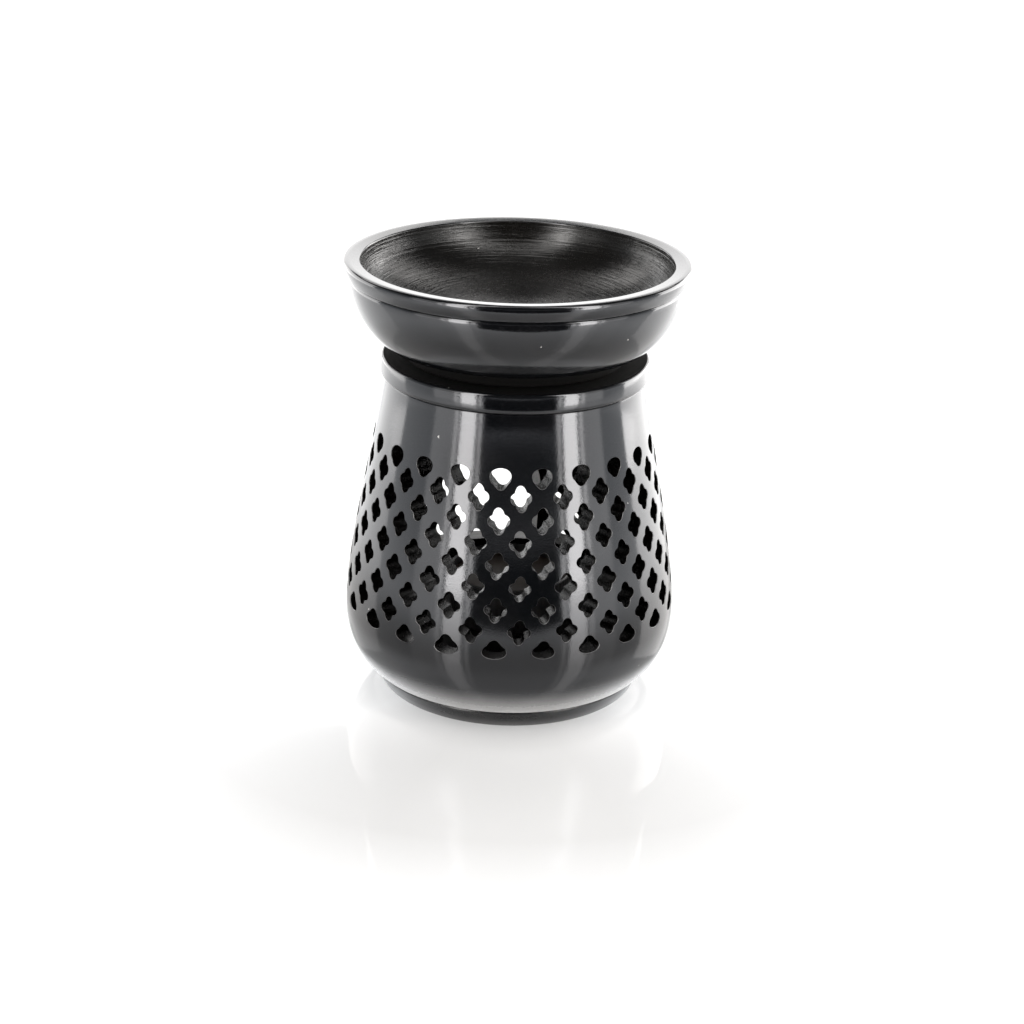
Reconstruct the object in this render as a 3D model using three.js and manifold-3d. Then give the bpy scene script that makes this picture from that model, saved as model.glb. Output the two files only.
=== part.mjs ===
// Openwork stone incense warmer: a pierced body on a base plate, a lift-off dish and a tea light.
// Millimetres, +Z up. The origin is the middle of the base plate's underside, and the doorway faces +Y.
import * as THREE from 'three';
import { mergeGeometries, mergeVertices } from 'three/addons/utils/BufferGeometryUtils.js';
import Module from 'manifold-3d';

// Clearances
const glueGap = 0.3;              // seam between the base plate and the body
const restGap = 0.25;             // under a piece that only stands on its seat
const spigotGap = 0.4;            // around the dish's spigot in the mouth
const castGap = 0.3;              // between the pieces of the tea light
const doorSideGap = 3.6;          // between the tea light's lip and each jamb

// Base plate: a matt disc with a plug that closes the body's bottom
const footHeight = 6.0;           // table to seam
const footInset = 1.0;            // flange edge, in from the body's lower edge
const footTaper = 2.9;            // how far the flange draws in towards the table
const footChamfer = 0.6;          // broken edge at the table

// Body: a turned shell
const bodyFootRadius = 44.5;      // lower edge, just above the seam
const bellyRadius = 51.7;         // widest place
const bellyRise = 18.7;           // widest place above the lower edge
const bellyTurn = 8.7;            // length of the upright tangent below the widest place
const flankRise = 74.9;           // widest place to the top of the flank
const flankTopRadius = 40.0;
const flankSwell = 18.7;          // upright tangent above the widest place
const flankNeck = 10.7;           // nearly upright tangent below the top of the flank
const flankNeckLean = 0.6;        // lean of that tangent
const collarHeight = 6.5;         // rounded bead between the flank and the ledge
const collarRadius = 41.25;       // widest place of the bead
const collarRise = 2.1;           // that place above the flank
const collarEase = 2.6;           // length of the upright tangent below the ledge
const lineDepth = 0.4;            // turned line under the bead
const lineHeight = 0.35;
const ledgeRadius = 40.8;
const ledgeRound = 0.5;           // soft edge of the ledge
const wall = 7.0;                 // stone left at the belly and along the flank
const mouthRadius = 30.0;
const mouthDepth = 8.4;           // straight wall of the mouth below the ledge
const openingRadius = 37.0;       // round opening in the body's underside
const floorRise = 13.7;           // chamber floor above the body's lower edge
const floorRound = 4.0;           // curve from the chamber wall into the floor

// Lattice: staggered rows of four-lobed holes
const holeColumns = 22;
const holeRows = 9;
const rowPitch = 6.625;
const lowestRowRise = 23.1;       // lowest row above the body's lower edge
const holeShare = 0.53;           // hole width as a share of the column pitch in its row
const holeHeight = 7.4;
const lobeTip = 0.95;             // half width of a lobe's tip
const valley = 1.55;              // corner between two lobes, across and up from the middle
const domeRise = 2.3;             // top row: low dome instead of the upper lobe
const domeHalf = 1.7;
const footDrop = 2.0;             // bottom row: flat foot instead of the lower lobe
const footHalf = 1.9;

// Doorway at the back for the tea light
const sillLip = 7.2;              // sill above the chamber floor
const jambHeight = 18.8;          // sill to the spring of the arch
const doorFrame = 3.0;            // plain stone left around the doorway

// Dish
const dishHeight = 29.5;          // seat to rim
const rimRadius = 52.5;
const rimWidth = 5.3;             // flat of the rim
const rimRound = 1.0;
const rimDip = 0.5;               // fall of the rim towards the bowl
const rimBandHeight = 4.8;
const rimBandDraw = 0.9;          // how far the band draws in downwards
const grooveHeight = 0.6;         // turned line under the rim band
const grooveDepth = 0.7;
const bowlFootRadius = 40.5;      // lower edge of the bowl
const bowlShoulderRadius = 48.3;  // swell of the bowl's outside
const bowlShoulderRise = 6.1;     // swell above the bowl's lower edge
const bowlWallSwell = 46.5;       // pull of the inside wall, and how far below the rim
const bowlWallDepth = 11.55;
const bowlFloorRadius = 36.0;     // flat tangent of the bowl's floor
const bowlDepth = 15.6;           // rim to the middle of the floor
const footRingHeight = 4.7;       // lifts the bowl clear of the ledge
const footRingLap = 4.0;          // ring's bearing on the ledge
const spigotLength = 4.0;
const spigotWall = 4.5;
const recessRise = 5.6;           // hollow under the bowl, above the seat

// Tea light
const cupRadius = 19.0;
const cupHeight = 15.5;
const cupSkin = 0.5;
const cupLip = 0.4;               // rolled edge, out from the cup's side
const waxDepth = 12.0;
const sustainerRadius = 6.0;
const sustainerSkin = 0.5;
const neckRadius = 1.8;           // tube of the sustainer that grips the wick
const neckHeight = 5.0;
const wickRadius = 0.8;
const wickShow = 6.5;             // wick above the wax

// Facets
const bodySides = 2 * holeColumns; // an upright edge through the middle of every hole
const dishSides = 48;
const tealightSides = 32;
const smallSides = 12;
const bodySteps = 3;              // per curve of the body's profile
const bowlSteps = 8;              // per curve of the dish's profile
const archSteps = 8;
const flankSamples = 200;         // places read along the flank
const weld = 1e-4;                // corners this close are one corner
const flatness = 0.005;           // facets this near to flat are merged after cutting

// Levels, from the table upwards
const bodyBottom = footHeight + glueGap;
const bellyLevel = bodyBottom + bellyRise;
const flankTop = bellyLevel + flankRise;
const ledgeLevel = flankTop + collarHeight;
const mouthBottom = ledgeLevel - mouthDepth;
const floorLevel = bodyBottom + floorRise;
const sillLevel = floorLevel + sillLip;
const springLevel = sillLevel + jambHeight;
const seatLevel = ledgeLevel + restGap;
const rimLevel = seatLevel + dishHeight;

const wasm = await Module();
wasm.setup();

// A closed mesh as a solid that can be cut.
function toSolid(geometry) {
  const bare = geometry.clone();
  bare.deleteAttribute('normal');
  bare.deleteAttribute('uv');
  const merged = mergeVertices(bare, weld);
  const index = merged.index.array;
  const kept = [];
  for (let i = 0; i < index.length; i += 3) {
    const [a, b, c] = index.subarray(i, i + 3);
    if (a !== b && b !== c && c !== a) {
      kept.push(a, b, c);
    }
  }
  return new wasm.Manifold(new wasm.Mesh({
    numProp: 3,
    vertProperties: new Float32Array(merged.attributes.position.array),
    triVerts: new Uint32Array(kept),
  }));
}

function toGeometry(solid) {
  const mesh = solid.getMesh();
  const geometry = new THREE.BufferGeometry();
  geometry.setAttribute('position', new THREE.BufferAttribute(mesh.vertProperties, 3));
  geometry.setIndex(new THREE.BufferAttribute(mesh.triVerts, 1));
  geometry.computeVertexNormals();
  return geometry;
}

// Turns a profile, drawn with radius as x and height as y, about the Z axis.
function turned(profile, sides) {
  return new THREE.LatheGeometry(profile, sides).rotateX(Math.PI / 2);
}

// Base plate: flange from the axis out and up, then the plug that fills the opening.
function basePlate() {
  const flangeTopRadius = bodyFootRadius - footInset;
  const flangeFootRadius = flangeTopRadius - footTaper;
  const plugRadius = openingRadius - glueGap;
  const profile = new THREE.Path();
  profile.moveTo(0, 0);
  profile.lineTo(flangeFootRadius - footChamfer, 0);
  profile.lineTo(flangeFootRadius, footChamfer);
  profile.lineTo(flangeTopRadius, footHeight);
  profile.lineTo(plugRadius, footHeight);
  profile.lineTo(plugRadius, floorLevel);
  profile.lineTo(0, floorLevel);
  return turned(profile.getPoints(), dishSides);
}

// Body shell before it is pierced: outside from the seam to the ledge, then the mouth and the chamber.
function bodyShell() {
  const outside = new THREE.Path();
  outside.moveTo(openingRadius, bodyBottom);
  outside.lineTo(bodyFootRadius, bodyBottom);
  outside.quadraticCurveTo(bellyRadius, bellyLevel - bellyTurn, bellyRadius, bellyLevel);
  outside.bezierCurveTo(
    bellyRadius, bellyLevel + flankSwell,
    flankTopRadius + flankNeckLean, flankTop - flankNeck,
    flankTopRadius, flankTop,
  );
  outside.lineTo(flankTopRadius - lineDepth, flankTop + lineHeight);
  outside.quadraticCurveTo(
    collarRadius, flankTop + lineHeight,
    collarRadius, flankTop + collarRise,
  );
  outside.quadraticCurveTo(
    collarRadius, ledgeLevel - collarEase,
    ledgeRadius, ledgeLevel - ledgeRound,
  );
  outside.lineTo(ledgeRadius - ledgeRound, ledgeLevel);

  const chamberRadius = bellyRadius - wall;
  const inside = new THREE.Path();
  inside.moveTo(mouthRadius, ledgeLevel);
  inside.lineTo(mouthRadius, mouthBottom);
  inside.bezierCurveTo(
    flankTopRadius - wall + flankNeckLean, flankTop - flankNeck,
    chamberRadius, bellyLevel + flankSwell,
    chamberRadius, bellyLevel,
  );
  inside.quadraticCurveTo(chamberRadius, floorLevel, chamberRadius - floorRound, floorLevel);
  inside.lineTo(openingRadius, floorLevel);
  inside.lineTo(openingRadius, bodyBottom);
  return turned([...outside.getPoints(bodySteps), ...inside.getPoints(bodySteps)], bodySides);
}

// Outside radius of the flank at a height, read off its curve.
const flankCurve = new THREE.CubicBezierCurve(
  new THREE.Vector2(bellyRadius, bellyLevel),
  new THREE.Vector2(bellyRadius, bellyLevel + flankSwell),
  new THREE.Vector2(flankTopRadius + flankNeckLean, flankTop - flankNeck),
  new THREE.Vector2(flankTopRadius, flankTop),
);

function flankRadius(height) {
  return flankCurve.getPoints(flankSamples).find((place) => place.y >= height).x;
}

// Outline of one hole: four lobes with a corner between each two. The top row is domed above and the
// bottom row is flat below.
function holeOutline(width, row) {
  const lowerLobe = [[lobeTip, -holeHeight / 2], [valley, -valley]];
  const upperLobe = [[valley, valley], [lobeTip, holeHeight / 2]];
  const right = [
    ...(row === 0 ? [[footHalf, -footDrop]] : lowerLobe),
    [width / 2, -lobeTip],
    [width / 2, lobeTip],
    ...(row === holeRows - 1 ? [[domeHalf, domeRise]] : upperLobe),
  ];
  const left = right.map(([across, up]) => [-across, up]).reverse();
  const corners = [...right, ...left];
  return new THREE.Shape(corners.map(([across, up]) => new THREE.Vector2(across, up)));
}

// Doorway seen from behind: straight jambs under a round arch.
const archRadius = cupRadius + cupLip + doorSideGap;

function doorwayCutter() {
  const outline = new THREE.Shape();
  outline.moveTo(-archRadius, sillLevel);
  outline.lineTo(archRadius, sillLevel);
  outline.lineTo(archRadius, springLevel);
  outline.absarc(0, springLevel, archRadius, 0, Math.PI);
  const cutter = new THREE.ExtrudeGeometry(outline, {
    depth: bellyRadius + wall,
    bevelEnabled: false,
    curveSegments: archSteps,
  });
  return cutter.rotateX(Math.PI / 2).rotateZ(Math.PI);
}

// Distance over the wall from a place to the edge of the doorway.
function distanceToDoorway(across, height) {
  if (height > springLevel) {
    return Math.hypot(across, height - springLevel) - archRadius;
  }
  return Math.hypot(Math.max(Math.abs(across) - archRadius, 0), Math.max(sillLevel - height, 0));
}

// Every hole of the lattice as a prism pointing out from the axis, apart from those at the doorway.
function latticeCutters() {
  const cutters = [];
  const columnAngle = 2 * Math.PI / holeColumns;
  for (let row = 0; row < holeRows; row += 1) {
    const height = bodyBottom + lowestRowRise + row * rowPitch;
    const radius = flankRadius(height);
    const width = holeShare * radius * columnAngle;
    const stagger = row % 2 === 0 ? 0.5 : 0;
    for (let column = 0; column < holeColumns; column += 1) {
      const angle = (column + stagger) * columnAngle;
      const behind = Math.cos(angle) > 0;
      const reach = Math.max(width, holeHeight) / 2 + doorFrame;
      if (behind && distanceToDoorway(radius * Math.sin(angle), height) < reach) {
        continue;
      }
      const start = radius - 2 * wall;
      const depth = radius + wall - start;
      const cutter = new THREE.ExtrudeGeometry(holeOutline(width, row), { depth, bevelEnabled: false });
      cutter.translate(0, 0, start);
      cutter.rotateX(Math.PI / 2).rotateZ(Math.PI).translate(0, 0, height).rotateZ(-angle);
      cutters.push(cutter);
    }
  }
  return mergeGeometries(cutters);
}

function burnerBody() {
  const pierced = toSolid(bodyShell()).subtract(toSolid(latticeCutters()));
  const opened = pierced.subtract(toSolid(doorwayCutter()));
  return toGeometry(opened.asOriginal().simplify(flatness));
}

// Dish: underside from the axis, foot ring and spigot, the bowl's outside, the rim and the bowl's inside.
function dish() {
  const spigotRadius = mouthRadius - spigotGap;
  const footRingRadius = mouthRadius + footRingLap;
  const bowlFoot = seatLevel + footRingHeight;
  const bandFoot = rimLevel - rimBandHeight;
  const bandFootRadius = rimRadius - rimBandDraw;
  const innerRadius = rimRadius - rimWidth;
  const profile = new THREE.Path();
  profile.moveTo(0, seatLevel + recessRise);
  profile.lineTo(spigotRadius - spigotWall, seatLevel + recessRise);
  profile.lineTo(spigotRadius - spigotWall, seatLevel - spigotLength);
  profile.lineTo(spigotRadius, seatLevel - spigotLength);
  profile.lineTo(spigotRadius, seatLevel);
  profile.lineTo(footRingRadius, seatLevel);
  profile.lineTo(footRingRadius, bowlFoot);
  profile.lineTo(bowlFootRadius, bowlFoot);
  profile.quadraticCurveTo(
    bowlShoulderRadius, bowlFoot + bowlShoulderRise,
    bandFootRadius - grooveDepth, bandFoot - grooveHeight,
  );
  profile.lineTo(bandFootRadius, bandFoot);
  profile.lineTo(rimRadius, rimLevel - rimRound);
  profile.quadraticCurveTo(rimRadius, rimLevel, rimRadius - rimRound, rimLevel);
  profile.lineTo(innerRadius, rimLevel - rimDip);
  profile.bezierCurveTo(
    bowlWallSwell, rimLevel - bowlWallDepth,
    bowlFloorRadius, rimLevel - bowlDepth,
    0, rimLevel - bowlDepth,
  );
  return turned(profile.getPoints(bowlSteps), dishSides);
}

// Tea light, standing on the chamber floor
const cupFoot = floorLevel + restGap;
const cupFloor = cupFoot + cupSkin;
const waxFoot = cupFloor + castGap;
const waxTop = waxFoot + waxDepth;
const tabFoot = cupFloor + castGap;
const neckTop = tabFoot + sustainerSkin + neckHeight;
const neckBore = wickRadius + castGap;

function tealightCup() {
  const profile = new THREE.Path();
  profile.moveTo(0, cupFoot);
  profile.lineTo(cupRadius, cupFoot);
  profile.lineTo(cupRadius, cupFoot + cupHeight - 2 * cupLip);
  profile.lineTo(cupRadius + cupLip, cupFoot + cupHeight - cupLip);
  profile.lineTo(cupRadius, cupFoot + cupHeight);
  profile.lineTo(cupRadius - cupSkin, cupFoot + cupHeight - cupLip);
  profile.lineTo(cupRadius - cupSkin, cupFloor);
  profile.lineTo(0, cupFloor);
  return turned(profile.getPoints(), tealightSides);
}

function tealightWax() {
  const waxRadius = cupRadius - cupSkin - castGap;
  const tabRoom = sustainerRadius + castGap;
  const neckRoom = neckRadius + castGap;
  const profile = new THREE.Path();
  profile.moveTo(tabRoom, waxFoot);
  profile.lineTo(waxRadius, waxFoot);
  profile.lineTo(waxRadius, waxTop);
  profile.lineTo(neckBore, waxTop);
  profile.lineTo(neckBore, neckTop + castGap);
  profile.lineTo(neckRoom, neckTop + castGap);
  profile.lineTo(neckRoom, tabFoot + sustainerSkin + castGap);
  profile.lineTo(tabRoom, tabFoot + sustainerSkin + castGap);
  profile.lineTo(tabRoom, waxFoot);
  return turned(profile.getPoints(), tealightSides);
}

function wickSustainer() {
  const profile = new THREE.Path();
  profile.moveTo(neckBore, tabFoot);
  profile.lineTo(sustainerRadius, tabFoot);
  profile.lineTo(sustainerRadius, tabFoot + sustainerSkin);
  profile.lineTo(neckRadius, tabFoot + sustainerSkin);
  profile.lineTo(neckRadius, neckTop);
  profile.lineTo(neckBore, neckTop);
  profile.lineTo(neckBore, tabFoot);
  return turned(profile.getPoints(), smallSides);
}

function tealightWick() {
  const length = waxTop + wickShow - tabFoot;
  const wick = new THREE.CylinderGeometry(wickRadius, wickRadius, length, smallSides);
  return wick.rotateX(Math.PI / 2).translate(0, 0, tabFoot + length / 2);
}

function finish(color, roughness, metalness) {
  return new THREE.MeshStandardMaterial({ color, roughness, metalness });
}

function piece(name, geometry, material) {
  const mesh = new THREE.Mesh(geometry, material);
  mesh.name = name;
  return mesh;
}

const polishedStone = finish(0x1c1d1f, 0.15, 0);
const mattStone = finish(0x3a3a3b, 0.7, 0);
const warmer = new THREE.Group();
warmer.add(
  piece('base_plate', basePlate(), mattStone),
  piece('burner_body', burnerBody(), polishedStone),
  piece('dish', dish(), polishedStone),
  piece('tealight_cup', tealightCup(), finish(0x3c3c3e, 0.4, 1)),
  piece('tealight_wax', tealightWax(), finish(0x2a221e, 0.5, 0)),
  piece('wick_sustainer', wickSustainer(), finish(0x6e6f72, 0.4, 1)),
  piece('tealight_wick', tealightWick(), finish(0x5a5148, 0.9, 0)),
);

export default warmer;
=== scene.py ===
import math
import random

import bpy
from mathutils import Matrix, Vector


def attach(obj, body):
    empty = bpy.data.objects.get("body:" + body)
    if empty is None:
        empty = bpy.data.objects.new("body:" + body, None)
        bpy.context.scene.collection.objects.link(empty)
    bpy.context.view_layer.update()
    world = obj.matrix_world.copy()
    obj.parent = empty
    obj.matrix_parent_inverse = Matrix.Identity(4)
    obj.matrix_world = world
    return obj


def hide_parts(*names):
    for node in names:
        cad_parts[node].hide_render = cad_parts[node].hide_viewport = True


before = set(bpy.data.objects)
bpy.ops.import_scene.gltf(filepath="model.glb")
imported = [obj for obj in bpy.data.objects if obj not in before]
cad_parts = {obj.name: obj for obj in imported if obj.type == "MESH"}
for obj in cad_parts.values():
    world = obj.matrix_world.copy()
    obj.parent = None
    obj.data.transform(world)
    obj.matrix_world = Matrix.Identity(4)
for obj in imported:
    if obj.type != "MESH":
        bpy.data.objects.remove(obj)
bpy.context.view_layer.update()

# Base disc. A sawn disc of the same black soapstone, rubbed flat and left matt. It is turned with a slight
# taper towards the table, and its plug is cemented into the body's open bottom to make the chamber floor,
# which is given a darker, duller finish as painted shade for the dark chamber.
mm = 0.001
disc_foot_radius = 40.6
disc_foot_lean = 0.2
disc_top_radius = 43.5
disc_top_lean = 0.6
disc_height = 6.0
disc_break = 0.6
disc_shoulder = 1.5
disc_shoulder_drop = 0.2
disc_steps = 160
plug_radius = 36.7
plug_top = 20.0
plug_break = 0.3
dark_floor_level = disc_height + 1.0


def curve(steps, *controls):
    """Places along the curve that the control points pull, after its start."""
    places = []
    for step in range(1, steps + 1):
        row = [Vector(control) for control in controls]
        while len(row) > 1:
            row = [a.lerp(b, step / steps) for a, b in zip(row, row[1:])]
        places.append(tuple(row[0]))
    return places


def deselect_everything():
    if bpy.context.object and bpy.context.object.mode == "EDIT":
        bpy.ops.object.mode_set(mode="OBJECT")
    bpy.ops.object.select_all(action="DESELECT")


def turn(name, outline, steps):
    """Draws an outline of radius and height in millimetres, point by point, and spins it about the Z axis."""
    deselect_everything()
    bpy.ops.mesh.primitive_plane_add(size=mm)
    piece = bpy.context.object
    piece.name = name
    piece.data.name = name
    bpy.ops.object.mode_set(mode="EDIT")
    bpy.ops.mesh.merge(type="CENTER")
    bpy.ops.transform.translate(value=(outline[0][0] * mm, 0, outline[0][1] * mm))
    for here, there in zip(outline, outline[1:]):
        move = ((there[0] - here[0]) * mm, 0, (there[1] - here[1]) * mm)
        bpy.ops.mesh.extrude_region_move(TRANSFORM_OT_translate={"value": move})
    bpy.ops.mesh.select_all(action="SELECT")
    bpy.ops.mesh.spin(steps=steps, angle=math.tau, center=(0, 0, 0), axis=(0, 0, 1))
    bpy.ops.mesh.select_all(action="SELECT")
    bpy.ops.mesh.remove_doubles(threshold=1e-3 * mm)
    bpy.ops.mesh.normals_make_consistent(inside=False)
    bpy.ops.object.mode_set(mode="OBJECT")
    return piece


def smooth(piece, degrees):
    deselect_everything()
    piece.select_set(True)
    bpy.context.view_layer.objects.active = piece
    bpy.ops.object.shade_smooth_by_angle(angle=math.radians(degrees))


def new_group(name, inputs, outputs):
    """An empty node group with number inputs, given with their values, and number outputs."""
    group = bpy.data.node_groups.new(name, "ShaderNodeTree")
    for socket_name, value in inputs.items():
        socket = group.interface.new_socket(name=socket_name, in_out="INPUT", socket_type="NodeSocketFloat")
        socket.default_value = value
    for socket_name in outputs:
        group.interface.new_socket(name=socket_name, in_out="OUTPUT", socket_type="NodeSocketFloat")
    return group, group.nodes.new("NodeGroupInput"), group.nodes.new("NodeGroupOutput")


def feed(tree, socket, value):
    """Links a node's output to a socket, or sets the socket to a plain number."""
    if isinstance(value, bpy.types.NodeSocket):
        tree.links.new(value, socket)
    else:
        socket.default_value = value


def math_node(tree, operation, first, second=None):
    node = tree.nodes.new("ShaderNodeMath")
    node.operation = operation
    feed(tree, node.inputs[0], first)
    if second is not None:
        feed(tree, node.inputs[1], second)
    return node.outputs[0]


def map_range(tree, value, low, high, out_low=0.0, out_high=1.0):
    node = tree.nodes.new("ShaderNodeMapRange")
    feed(tree, node.inputs["Value"], value)
    feed(tree, node.inputs["From Min"], low)
    feed(tree, node.inputs["From Max"], high)
    feed(tree, node.inputs["To Min"], out_low)
    feed(tree, node.inputs["To Max"], out_high)
    return node.outputs["Result"]


def noise(tree, vector, scale, detail, roughness=0.5):
    node = tree.nodes.new("ShaderNodeTexNoise")
    tree.links.new(vector, node.inputs["Vector"])
    feed(tree, node.inputs["Scale"], scale)
    node.inputs["Detail"].default_value = detail
    node.inputs["Roughness"].default_value = roughness
    return node.outputs["Fac"]


def object_place(tree):
    return tree.nodes.new("ShaderNodeTexCoord").outputs["Object"]


def split_place(tree, vector):
    node = tree.nodes.new("ShaderNodeSeparateXYZ")
    tree.links.new(vector, node.inputs[0])
    return node.outputs["X"], node.outputs["Y"], node.outputs["Z"]


def join_place(tree, x, y, z):
    node = tree.nodes.new("ShaderNodeCombineXYZ")
    for socket, value in zip(node.inputs, (x, y, z)):
        tree.links.new(value, socket)
    return node.outputs[0]


def build_soapstone_clouds():
    """Soft clouds, small flecks of talc and a fine grain, all through the stone."""
    fleck_fineness = 14.0
    grain_fineness = 36.0
    group, given, made = new_group("soapstone_clouds", {"Scale": 60.0}, ("Cloud", "Fleck", "Grain"))
    place = object_place(group)
    broad = noise(group, place, given.outputs["Scale"], 5.0, 0.62)
    group.links.new(map_range(group, broad, 0.32, 0.70), made.inputs["Cloud"])
    small = noise(group, place, math_node(group, "MULTIPLY", given.outputs["Scale"], fleck_fineness), 2.0)
    group.links.new(map_range(group, small, 0.60, 0.76), made.inputs["Fleck"])
    grain = noise(group, place, math_node(group, "MULTIPLY", given.outputs["Scale"], grain_fineness), 2.0)
    group.links.new(grain, made.inputs["Grain"])
    return group


def build_turning_lines():
    """Rings left by the tool and the cloth: they follow radius and height, and hardly the angle."""
    ring_sweep = 0.0006
    streak_sweep = 0.004
    group, given, made = new_group("turning_lines", {"Pitch": 900.0, "Wander": 0.15}, ("Ring", "Streak"))
    x, y, z = split_place(group, object_place(group))
    across = math_node(group, "MULTIPLY", x, x)
    along = math_node(group, "MULTIPLY", y, y)
    radius = math_node(group, "SQRT", math_node(group, "ADD", across, along))
    angle = math_node(group, "ARCTAN2", y, x)
    sweep = math_node(group, "MULTIPLY", angle, ring_sweep)
    ring_place = join_place(group, radius, z, math_node(group, "MULTIPLY", sweep, given.outputs["Wander"]))
    ring = noise(group, ring_place, given.outputs["Pitch"], 3.0, 0.6)
    group.links.new(ring, made.inputs["Ring"])
    streak_place = join_place(group, radius, z, math_node(group, "MULTIPLY", angle, streak_sweep))
    streak = noise(group, streak_place, given.outputs["Pitch"], 2.0, 0.7)
    group.links.new(map_range(group, streak, 0.52, 0.74), made.inputs["Streak"])
    return group


def build_chips_and_dust():
    """Sparse pale specks where a grain has broken out or dust lies."""
    ragged_fineness = 8.0
    ragged_depth = 0.09
    group, given, made = new_group("chips_and_dust", {"Scale": 400.0, "Share": 0.03, "Size": 0.10}, ("Speck",))
    cells = group.nodes.new("ShaderNodeTexVoronoi")
    place = object_place(group)
    group.links.new(place, cells.inputs["Vector"])
    group.links.new(given.outputs["Scale"], cells.inputs["Scale"])
    ragged = noise(group, place, math_node(group, "MULTIPLY", given.outputs["Scale"], ragged_fineness), 2.0)
    far = math_node(group, "ADD", cells.outputs["Distance"],
                    map_range(group, ragged, 0.3, 0.7, -ragged_depth, ragged_depth))
    near = math_node(group, "LESS_THAN", far, given.outputs["Size"])
    tint = group.nodes.new("ShaderNodeSeparateColor")
    group.links.new(cells.outputs["Color"], tint.inputs[0])
    chosen = math_node(group, "LESS_THAN", tint.outputs[0], given.outputs["Share"])
    group.links.new(math_node(group, "MULTIPLY", near, chosen), made.inputs["Speck"])
    return group


def build_painted_floor_reflection():
    """Painted reflection: lighter grey towards a lower edge, standing in for the bright floor mirrored there.
    """
    patch_scale = 1800.0
    fall = 2.2
    group, given, made = new_group("painted_floor_reflection", {"Bottom": 0.0, "Top": 0.01, "Share": 0.5}, ("Mask",))
    place = object_place(group)
    height = split_place(group, place)[2]
    near = map_range(group, height, given.outputs["Top"], given.outputs["Bottom"])
    patchy = map_range(group, noise(group, place, patch_scale, 3.0, 0.6), 0.3, 0.7, 0.90, 1.08)
    reflection_mask = math_node(group, "MULTIPLY", math_node(group, "POWER", near, fall), patchy)
    group.links.new(math_node(group, "MULTIPLY", reflection_mask, given.outputs["Share"]), made.inputs["Mask"])
    return group


soapstone_clouds = build_soapstone_clouds()
turning_lines = build_turning_lines()
chips_and_dust = build_chips_and_dust()
painted_floor_reflection = build_painted_floor_reflection()
fleck_colour = (0.09, 0.09, 0.095)
# Pale grey of the painted reflection of the bright floor near lower edges; the stone is also rougher there.
painted_reflection_colour = (0.58, 0.58, 0.58)
chip_colour = (0.42, 0.41, 0.39)
painted_reflection_roughness = 0.4
grain_gloss = 0.03


def place_group(tree, group, **values):
    node = tree.nodes.new("ShaderNodeGroup")
    node.node_tree = group
    for name, value in values.items():
        node.inputs[name].default_value = value
    return node


def mix_colour(tree, share, first, second):
    node = tree.nodes.new("ShaderNodeMix")
    node.data_type = "RGBA"
    tree.links.new(share, node.inputs["Factor"])
    for socket, value in ((node.inputs["A"], first), (node.inputs["B"], second)):
        feed(tree, socket, value if isinstance(value, bpy.types.NodeSocket) else (*value, 1.0))
    return node.outputs["Result"]


def bump(tree, height, strength, distance):
    node = tree.nodes.new("ShaderNodeBump")
    tree.links.new(height, node.inputs["Height"])
    node.inputs["Strength"].default_value = strength
    node.inputs["Distance"].default_value = distance
    return node.outputs["Normal"]


def new_finish(name):
    material = bpy.data.materials.new(name)
    material.use_nodes = True
    return material, material.node_tree, material.node_tree.nodes["Principled BSDF"]


def stone_finish(name, dark, light, roughness, relief, pitch, index, specks, flecks, painted_reflection=(0, 1, 0)):
    """Soapstone: clouded colour, pale flecks and chips, turning lines and grain in the gloss and the relief.

    The relief is the heights of the rings, the broken streaks and the grain, in millimetres. The painted
    reflection is the lower and upper level in millimetres of a pale grey painted near a lower edge for the
    bright floor mirrored there, and how strongly it covers the stone.
    """
    material, tree, shader = new_finish(name)
    clouds = place_group(tree, soapstone_clouds, Scale=60.0)
    lines = place_group(tree, turning_lines, Pitch=pitch, Wander=0.15)
    chips = place_group(tree, chips_and_dust, Scale=400.0, Share=specks, Size=0.10)
    reflection_bottom, reflection_top, reflection_share = painted_reflection
    edge = place_group(tree, painted_floor_reflection, Bottom=reflection_bottom * mm, Top=reflection_top * mm, Share=reflection_share).outputs["Mask"]

    clouded = mix_colour(tree, clouds.outputs["Cloud"], dark, light)
    fleck_share = math_node(tree, "MULTIPLY", clouds.outputs["Fleck"], flecks)
    flecked = mix_colour(tree, fleck_share, clouded, fleck_colour)
    # Painted reflection: pale grey laid over the stone near a lower edge, in place of the mirrored bright
    # floor.
    edged = mix_colour(tree, edge, flecked, painted_reflection_colour)
    chipped = mix_colour(tree, chips.outputs["Speck"], edged, chip_colour)
    tree.links.new(chipped, shader.inputs["Base Color"])

    wear = math_node(tree, "ADD", math_node(tree, "MULTIPLY", clouds.outputs["Cloud"], 0.5),
                     math_node(tree, "MULTIPLY", lines.outputs["Streak"], 0.5))
    worn_gloss = math_node(tree, "ADD", map_range(tree, wear, 0.0, 1.0, *roughness),
                           map_range(tree, clouds.outputs["Grain"], 0.3, 0.7, -grain_gloss, grain_gloss))
    gloss = math_node(tree, "ADD", worn_gloss, math_node(tree, "MULTIPLY", edge, painted_reflection_roughness))
    tree.links.new(gloss, shader.inputs["Roughness"])

    ring_height, streak_height, grain_height = relief
    rings = math_node(tree, "MULTIPLY", lines.outputs["Ring"], ring_height)
    streaks = math_node(tree, "MULTIPLY", lines.outputs["Streak"], streak_height)
    grain = math_node(tree, "MULTIPLY", clouds.outputs["Grain"], grain_height)
    height = math_node(tree, "ADD", math_node(tree, "ADD", rings, streaks), grain)
    tree.links.new(bump(tree, height, 1.0, mm), shader.inputs["Normal"])
    shader.inputs["IOR"].default_value = index
    return material


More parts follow.
